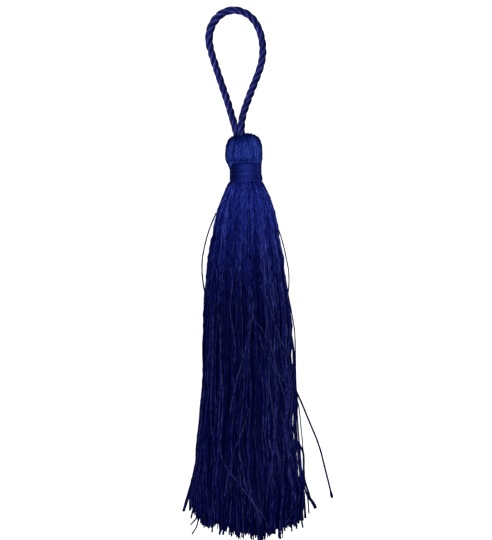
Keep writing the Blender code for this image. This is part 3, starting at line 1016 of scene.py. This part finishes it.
def makeSkirt():
    reference = sectionAt(skirtSections, skirt["sharedAt"])
    for number, (name, yarn, above, below, *layer) in enumerate(skirt["layers"]):
        chance = random.Random(20 + number)
        for side, count in (("Top", above), ("Under", below)):
            strands = []
            for angle in evenAngles(reference, 2 * count, skirt["jitter"], chance):
                if (math.sin(angle) > skirt["split"]) == (side == "Top"):
                    order = len(strands)
                    seed = 300.0 * number + 0.37 * order + 70 * (side == "Under")
                    strands.append(skirtStrand(order, seed, angle, layer, chance))
            fine = number == 0 and side == "Top"
            values = {
                "Point Spacing": skirt["fineSpacing"] if fine else skirt["spacing"],
                "Turns Per Metre": 80.0,
                "Crimp Height": 0.28 * mm,
                "Crimp Length": 2.4 * mm,
                "Seed": 11 + number,
            }
            makeStrands("skirt" + name + side, strands, yarn, values, "yarn_hank")


makeSkirt()


# head: strands that come up from the neck behind, fold over the crown and go down in front

head = {
    "layers": (  # name, strands, inset from and to in millimetres, shade
        # the inner layer's lower shade is painted shade
        ("headYarn", 96, 0.0, 0.22, 1.0),
        ("headInnerYarn", 60, 0.30, 0.50, 0.6),
    ),
    "jitter": 0.45,
    "width": 0.46 * mm,
    "widthSpread": 0.15,
    "widest": 0.99,  # share of the half width at which the outermost strands lie
    "points": 24,  # on each face
    "crowding": 1.7,  # how much closer the points are towards the fold
    "equator": 5.5 * mm,  # how far below the crown it is widest
    "foldX": -2.6 * mm,  # they gather a little towards the cord at the fold
    "gather": 0.42,
    "cordX": -2.9 * mm,
    "cordHalf": 1.5 * mm,
    "notch": 0.9 * mm,  # they fold this much lower round the cord
    "low": 9.4 * mm,  # where they go under the binding
    "droop": 1.8 * mm,  # the left side hangs over it by this much
    "droopFrom": (0.5, 0.95),
    "sway": (0.03, 3.5 * mm),  # share of the width, and the length of a wave
    "swayOver": 2.0 * mm,  # below the fold it is full
    "crimp": 0.9,
    "crimps": (1.5 * mm, 4.0 * mm),  # how far below the fold it starts, and is full
    "shadeSpread": 0.18,
    "raised": 1.3,  # shade of the uppermost strands of a layer; deeper ones get painted shade
    "sunkLoss": 0.5,  # painted shade: how much darker the deepest ones are
    "foldShade": 0.45,  # painted shade: how light the strands are at the fold
    "foldOver": 3.5 * mm,
    "rightGain": 0.3,  # painted light: how much lighter the right side is
    "rightFrom": (0.5, 0.8),
    "rimLoss": 0.8,  # painted shade: how much darker the two edges are
    "rimFrom": (0.92, 1.0),
    "bellyGain": 0.1,  # painted sheen: how much lighter the head is just above the binding
    "bellyFrom": (6.8 * mm, 8.4 * mm),
    "bands": 0.35,  # how much lighter and darker groups of strands are
    "bandSize": (1.3 * mm, 4.0 * mm),
}


def outlineDepth(x):
    # how far below the crown the head's outline passes over x
    depth, step = 0.0, 0.04 * mm
    while depth < head["equator"]:
        section = sectionAt(headSections, depth)
        if section["left"] <= x <= section["right"]:
            break
        depth += step
    return depth


# how light a head strand is: painted shade at the fold and edges, painted light on the right and above
# the binding, bands of tone
def headLight(across, equatorX, belowFold, depth):
    light = head["foldShade"] + (1 - head["foldShade"]) * smoothStep(belowFold, 0.0, head["foldOver"])
    right = head["rightGain"] * smoothStep(across, *head["rightFrom"])
    light *= 1 + right - head["rimLoss"] * smoothStep(abs(across), *head["rimFrom"])
    light *= 1 + head["bellyGain"] * smoothStep(depth, *head["bellyFrom"])
    width, length = head["bandSize"]
    return light * (1 + head["bands"] * noise.noise(Vector((equatorX / width, depth / length, 2.0))))


def headStrand(seed, share, inset, shade, chance):
    # up behind the head, over the fold and down in front
    width = head["width"] * chance.uniform(1 - head["widthSpread"], 1 + head["widthSpread"])
    buried = inset + width / 2
    across = math.sin(share * math.pi / 2) * head["widest"]
    equator = sectionAt(headSections, head["equator"])
    equatorX = equator["centre"] + equator["half"] * across
    foldX = equatorX + (head["foldX"] - equatorX) * head["gather"] * (1 - across * across)
    byCord = math.exp(-(((foldX - head["cordX"]) / head["cordHalf"]) ** 2))
    high = outlineDepth(foldX) + head["notch"] * byCord
    low = head["low"] + head["droop"] * smoothStep(-across, *head["droopFrom"])
    sway, swayLength = head["sway"]
    faces = []
    for front in (False, True):
        line = []
        for i in range(head["points"]):
            t = i / (head["points"] - 1)
            belowFold = (low - high) * t ** head["crowding"]
            depth = high + belowFold
            section = sectionAt(headSections, depth)
            centre, middle = section["centre"], section["middle"]
            folded = (foldX - centre) / section["half"]
            ratio = folded + (across - folded) * smoothStep(depth, high - 0.5 * mm, head["equator"])
            swayed = sway * wander(seed + front * 40, depth, swayLength)
            ratio += swayed * smoothStep(belowFold, 0.0, head["swayOver"])
            ratio = min(1.0, max(-1.0, ratio))
            tall = section["top"] - middle if front else middle - max(0.0, section["underside"])
            bulge = (tall - buried) * math.sqrt(1 - ratio * ratio)
            x = centre + (section["half"] - buried) * ratio
            z = middle + (bulge if front else -bulge)
            crimp = head["crimp"] * smoothStep(belowFold, *head["crimps"])
            light = shade * headLight(across, equatorX, belowFold, depth)
            line.append(((x, crownY - depth - inset, z), width, crimp, light))
        faces.append(line)
    return faces[0][::-1] + faces[1][1:]


def makeHead():
    chance = random.Random(8)
    for name, count, low, high, lightness in head["layers"]:
        strands = []
        for k in range(count):
            share = 2 * (k + 0.5 + chance.uniform(-head["jitter"], head["jitter"])) / count - 1
            inset = chance.uniform(low, high)
            # painted shade: deeper strands are darker
            shade = lightness * chance.lognormvariate(0, head["shadeSpread"])
            shade *= head["raised"] - head["sunkLoss"] * (inset - low) / (high - low)
            strands.append(headStrand(k * 0.71 + lightness, share, inset * mm, shade, chance))
        values = {
            "Point Spacing": 0.40 * mm,
            "Sides": 8,
            "Flatness": 0.8,
            "Turns Per Metre": 220.0,
            "Crimp Height": 0.14 * mm,
            "Crimp Length": 1.4 * mm,
            "Seed": 31,
        }
        makeStrands(name, strands, "headYarn", values, "yarn_hank")


makeHead()


# neck binding

binding = {
    "turns": 13.4,
    "thread": 0.84 * mm,
    "stepsPerTurn": 60,
    "endsIn": 0.12 * mm,  # how much tighter it is wound at its two ends
    "uneven": 0.03 * mm,
    "sway": 0.06 * mm,
    # painted shadow at the left, where the head hangs over the binding
    "leftShade": 0.54,
    "middleGain": 0.52,  # painted highlight: how much lighter the middle is than the left side
    "middleFrom": (-0.75, -0.1),
    "rightLoss": 0.32,  # share of that painted highlight which the right side lacks
    "rightFrom": (0.15, 0.6),
    "rimGain": 0.6,  # painted light: how much lighter it is where it turns away
    "rimFrom": (0.82, 0.95),
    "mottle": 0.3,
    "endWidth": 0.56 * mm,  # of the loose end
    "endShade": 0.6,
}
threadEnd = (
    (3.20, 49.0, 6.9), (3.60, 48.4, 6.7), (3.82, 47.7, 6.4), (3.84, 47.1, 6.2), (3.60, 46.6, 6.0),
)  # fmt: skip


def woundThread():
    length = bindingHigh[1] - bindingLow[1]
    outer = (bindingHigh[0] - bindingLow[0]) / 2
    steps = round(binding["turns"] * binding["stepsPerTurn"])
    thread = binding["thread"]
    wound = []
    for i in range(steps + 1):
        t = i / steps
        turn = 2 * math.pi * binding["turns"] * t + math.pi
        side, up = math.cos(turn), math.sin(turn)
        radius = outer - thread / 2 - binding["endsIn"] * (2 * t - 1) ** 6
        radius += binding["uneven"] * noise.noise(Vector((turn * 0.35, t * 9, 4.0)))
        y = bindingHigh[1] - thread / 2 - (length - thread) * t
        y += binding["sway"] * noise.noise(Vector((side * 1.5, up * 1.5, t * 14)))
        # painted shade and light round the binding: shadow at the left, highlight in the middle, lighter
        # edges
        right = 1 - binding["rightLoss"] * smoothStep(side, *binding["rightFrom"])
        middle = binding["middleGain"] * smoothStep(side, *binding["middleFrom"])
        shade = binding["leftShade"] + middle * right
        shade += binding["rimGain"] * smoothStep(abs(side), *binding["rimFrom"])
        shade += binding["mottle"] * noise.noise(Vector((turn * 0.16, 7.0, 1.0)))
        wound.append(((neckX + radius * side, y, neckZ + radius * up), thread, 0.0, shade))
    return wound


def makeBinding():
    points = smoothLine(threadEnd, 8)[0]
    end = [(point, binding["endWidth"], 0.0, binding["endShade"]) for point in points]
    values = {
        "Point Spacing": 0.4 * mm,
        "Sides": 8,
        "Flatness": 0.85,
        "Turns Per Metre": 240.0,
        "Seed": 41,
    }
    strands = [woundThread(), end]
    makeStrands("neckThread", strands, "bindingThread", values, "neck_binding")


makeBinding()


# loose strands: bows that stand off the sides, splayed ends, and strands that cross the face

loose = {
    "crimp": 0.1,
    "freeCrimp": 0.2,  # of hem tails and crossing strands
    "tailShade": 0.45,
    "crossingLift": 0.09 * mm,  # above the skirt's outline
    "depth": 0.6 * mm,  # how far in a crossing strand starts and ends
    "rises": (0.0, 0.12),  # shares of its length
    "dives": (0.9, 1.0),
}
looseStrands = (  # width, shade, points, in millimetres
    # bows at the left and at the right
    (0.50, 0.5, ((-9.8, 37.2, 5.4), (-11.2, 34.0, 5.2), (-12.5, 30.3, 5.0), (-13.4, 26.7, 4.8),
        (-14.0, 23.1, 4.6), (-14.05, 19.5, 4.5), (-13.7, 15.9, 4.4), (-13.1, 12.6, 4.4),
        (-12.6, 9.0, 4.4))),
    (0.42, 0.5, ((8.3, 33.6, 5.2), (9.54, 30.2, 5.0), (10.23, 27.8, 4.9), (10.8, 25.4, 4.8),
        (11.3, 23.0, 4.7), (11.75, 20.6, 4.6), (11.95, 18.2, 4.6), (11.95, 15.8, 4.5),
        (11.8, 13.8, 4.5), (11.4, 11.4, 4.4), (10.9, 9.0, 4.4))),
    # strands at the edges, with slits between them at the right
    (0.44, 0.6, ((11.2, 14.6, 4.4), (12.1, 10.8, 4.3), (12.9, 6.6, 4.2), (13.6, 2.4, 4.1),
        (13.82, -1.2, 4.0), (13.9, -5.4, 3.9), (14.0, -10.8, 3.8), (14.15, -15.6, 3.6),
        (14.3, -18.4, 3.5))),
    (0.82, 0.5, ((11.9, 3.4, 4.2), (12.75, -0.3, 4.1), (13.04, -2.1, 4.0), (13.32, -4.2, 4.0),
        (13.44, -8.1, 3.9), (13.7, -13.5, 3.7), (13.8, -20.0, 3.5))),
    (0.55, 0.6, ((-14.4, -20.0, 3.5), (-14.8, -24.0, 3.4), (-15.1, -28.5, 3.3), (-15.4, -33.0, 3.1),
        (-15.7, -38.0, 2.9))),
    (0.62, 0.5, ((12.3, -8.0, 3.7), (12.9, -10.4, 3.7), (13.25, -13.4, 3.7), (13.45, -17.0, 3.6),
        (13.45, -20.4, 3.5), (13.5, -23.4, 3.4), (13.6, -26.4, 3.3), (13.72, -28.5, 3.2),
        (13.84, -30.9, 3.1), (14.02, -33.0, 3.0), (14.1, -35.0, 2.8))),
    (0.58, 0.7, ((13.0, -8.0, 3.7), (13.6, -12.0, 3.7), (13.9, -16.0, 3.6), (14.0, -20.4, 3.5),
        (14.0, -23.4, 3.4), (14.1, -26.4, 3.3), (14.25, -28.5, 3.2), (14.4, -30.9, 3.1),
        (14.75, -33.0, 3.0), (15.0, -35.1, 3.0), (15.2, -37.5, 2.9), (15.4, -39.9, 2.8),
        (15.6, -42.3, 2.6), (15.8, -46.0, 2.2))),
    (0.60, 0.5, ((14.1, -29.0, 3.0), (14.3, -30.9, 3.0), (14.5, -33.0, 2.9), (14.82, -36.0, 2.8),
        (15.12, -39.0, 2.7), (15.3, -42.0, 2.5), (15.4, -46.0, 2.2))),
    (0.52, 0.4, ((13.8, -12.6, 3.6), (14.3, -17.0, 3.6), (14.5, -19.8, 3.5), (14.42, -22.8, 3.4),
        (14.62, -26.1, 3.3), (14.78, -28.5, 3.2), (14.98, -30.9, 3.1), (15.22, -33.0, 3.0),
        (15.36, -35.1, 2.9), (15.52, -37.5, 2.8), (15.72, -39.9, 2.7), (15.9, -42.3, 2.5),
        (16.2, -45.6, 2.2), (16.4, -49.0, 1.8), (16.7, -51.6, 1.1))),
    # more of the right edge, with its splayed ends
    (0.74, 0.5, ((14.75, -31.2, 3.1), (15.3, -32.6, 3.0), (15.95, -33.8, 3.0), (16.33, -35.1, 2.9),
        (16.42, -36.9, 2.8), (16.45, -39.9, 2.6), (16.6, -42.3, 2.4), (16.95, -43.95, 2.1),
        (17.5, -45.6, 1.8), (18.0, -47.25, 1.5), (18.4, -48.45, 1.2), (19.05, -49.35, 0.9),
        (19.75, -50.4, 0.6), (20.2, -51.4, 0.4))),
    (0.70, 0.5, ((15.45, -38.7, 2.8), (15.85, -40.5, 2.7), (16.15, -42.9, 2.4), (16.3, -45.9, 2.0),
        (16.4, -48.6, 1.6))),
    (0.40, 0.5, ((14.6, -19.4, 3.5), (14.95, -21.0, 3.4), (15.25, -23.4, 3.3), (15.5, -26.0, 3.2),
        (15.8, -29.0, 3.1), (16.1, -32.2, 3.0), (16.2, -34.0, 2.9))),
    (0.56, 0.4, ((16.2, -42.0, 2.1), (16.4, -44.1, 1.9), (16.8, -45.6, 1.7), (17.35, -47.1, 1.4),
        (17.8, -48.3, 1.1), (18.3, -48.9, 0.9), (18.9, -49.95, 0.7), (19.5, -51.0, 0.5),
        (19.85, -51.75, 0.4))),
    (0.66, 0.3, ((19.0, -49.4, 0.8), (19.5, -50.4, 0.7), (20.05, -51.6, 0.5))),
    (0.50, 0.6, ((16.6, -44.6, 1.9), (16.95, -46.2, 1.7), (17.5, -47.85, 1.4), (17.75, -49.2, 1.1),
        (17.9, -51.0, 0.8), (18.05, -53.2, 0.5))),
    # splayed ends at the left
    (0.56, 0.6, ((-15.4, -34.0, 3.0), (-15.9, -38.0, 2.7), (-16.5, -41.2, 2.4), (-17.3, -43.6, 2.1),
        (-18.0, -46.0, 1.6), (-18.9, -49.0, 1.0), (-19.9, -52.55, 0.4))),
    (0.66, 0.5, ((-15.2, -34.0, 2.8), (-15.7, -38.0, 2.5), (-16.3, -41.9, 2.2), (-17.0, -44.2, 1.9),
        (-17.7, -46.5, 1.5), (-18.5, -49.2, 0.9), (-19.55, -52.5, 0.5))),
    (0.62, 0.6, ((-16.6, -44.0, 2.1), (-17.3, -47.0, 1.7), (-17.6, -49.6, 1.2), (-17.85, -52.3, 0.7))),
    (0.60, 0.4, ((-15.6, -47.0, 2.0), (-16.3, -50.0, 1.5), (-16.9, -52.2, 0.9), (-17.45, -54.6, 0.5))),
    (0.60, 0.5, ((-15.8, -43.0, 2.3), (-16.6, -47.0, 1.9), (-17.0, -49.2, 1.6), (-17.0, -51.3, 1.2))),
    (0.60, 0.5, ((-15.0, -47.0, 2.3), (-15.6, -50.5, 1.9), (-15.8, -54.6, 1.0))),
    # hairs at the lower left
    (0.50, 1.2, ((-14.6, -53.0, 1.6), (-16.1, -54.9, 1.1), (-17.6, -56.6, 0.3))),
    (0.50, 1.2, ((-14.6, -52.5, 1.5), (-15.2, -55.1, 1.1), (-15.9, -57.4, 0.6), (-17.2, -59.4, 0.3))),
    # a hair over the binding
    (0.34, 1.1, ((2.55, 53.6, 8.1), (2.65, 51.6, 8.1), (2.70, 49.6, 8.1), (2.75, 48.0, 8.1),
        (3.2, 46.0, 8.2), (3.9, 44.0, 8.2))),
)  # fmt: skip
crossingStrands = (  # width, shade, points as (across, along)
    (0.44, 1.4, ((2.6, 3.0), (3.9, -2.4), (6.6, -7.6), (10.0, -12.4), (12.6, -16.0),
        (14.6, -19.4))),
    (0.44, 1.6, ((1.6, 10.0), (0.3, 2.1), (-1.6, -5.4), (-3.6, -12.6), (-5.2, -19.5),
        (-6.0, -25.0))),
    (0.44, 1.8, ((-9.6, -30.0), (-7.4, -37.8), (-3.4, -43.4), (0.6, -48.6), (4.6, -54.3),
        (5.8, -57.6))),
    (0.44, 2.0, ((-3.4, -33.0), (-2.1, -38.7), (-0.6, -45.4), (1.8, -50.4), (3.6, -56.0))),
    (0.44, 1.4, ((3.0, 18.0), (4.0, 14.1), (5.8, 10.5), (7.6, 4.4), (9.8, -1.4), (12.0, -6.5),
        (13.2, -10.1))),
    (0.40, 1.5, ((0.6, 9.0), (1.4, 5.8), (4.0, 2.2), (6.2, -1.8), (7.6, -6.5), (9.4, -13.8),
        (10.9, -18.8), (11.6, -26.0))),
    (0.44, 1.7, ((5.6, -12.0), (6.4, -17.0), (7.5, -26.5), (6.9, -37.0), (6.2, -44.0))),
    (0.40, 1.6, ((-10.2, 12.0), (-10.7, 4.4), (-11.0, -10.1), (-11.4, -18.8), (-11.2, -30.0))),
    (0.44, 1.5, ((-9.4, 8.0), (-8.7, 2.6), (-8.3, -10.1), (-7.8, -17.4), (-8.4, -28.0),
        (-9.4, -36.0))),
    (0.40, 1.5, ((-6.4, 24.0), (-5.0, 17.0), (-5.6, 8.0), (-4.2, -2.0), (-4.6, -9.0))),
    (0.40, 1.4, ((8.6, -30.0), (7.0, -36.0), (5.8, -43.0), (5.2, -50.0))),
    (0.40, 1.4, ((0.2, -20.0), (-1.6, -27.0), (-4.4, -34.0), (-6.4, -42.0), (-7.6, -50.0))),
    (0.44, 1.4, ((9.6, -22.0), (11.4, -30.0), (12.0, -38.0), (13.4, -46.0))),
)  # fmt: skip


def surfaceHeight(x, y):
    section = sectionAt(skirtSections, crownY - y)
    ratio = min(1.0, abs(x - section["centre"]) / section["half"])
    return section["middle"] + (section["top"] - section["middle"]) * math.sqrt(1 - ratio * ratio)


def crossingStrand(width, shade, points):
    line = smoothLine([(x, y, 0.0) for x, y in points], 12 * len(points))[0]
    strand = []
    for i, point in enumerate(line):
        t = i / (len(line) - 1)
        dive = 1 - smoothStep(t, *loose["rises"]) + smoothStep(t, *loose["dives"])
        height = surfaceHeight(point.x, point.y) + loose["crossingLift"] - width / 2
        place = (point.x, point.y, height - loose["depth"] * dive)
        strand.append((place, width, loose["freeCrimp"], shade))
    return strand


def makeLooseYarn():
    strands = []
    for width, shade, points in looseStrands:
        line = smoothLine(points, 8 * len(points))[0]
        strands.append([(point, width * mm, loose["crimp"], shade) for point in line])
    for width, x, y, over in hemTails:
        # each comes down out of the skirt, a few millimetres above its end
        line = smoothLine(((x - over, y + 8.0, 2.6), (x - over * 0.5, y + 3.6, 1.8), (x, y, 0.8)), 16)[0]
        strands.append([(point, width * mm, loose["freeCrimp"], loose["tailShade"]) for point in line])
    for width, shade, points in crossingStrands:
        strands.append(crossingStrand(width * mm, shade, points))
    values = {"Point Spacing": 0.6 * mm, "Sides": 8, "Flatness": 0.9, "Seed": 51}
    makeStrands("looseYarn", strands, "skirtYarn", values, "yarn_hank")


makeLooseYarn()
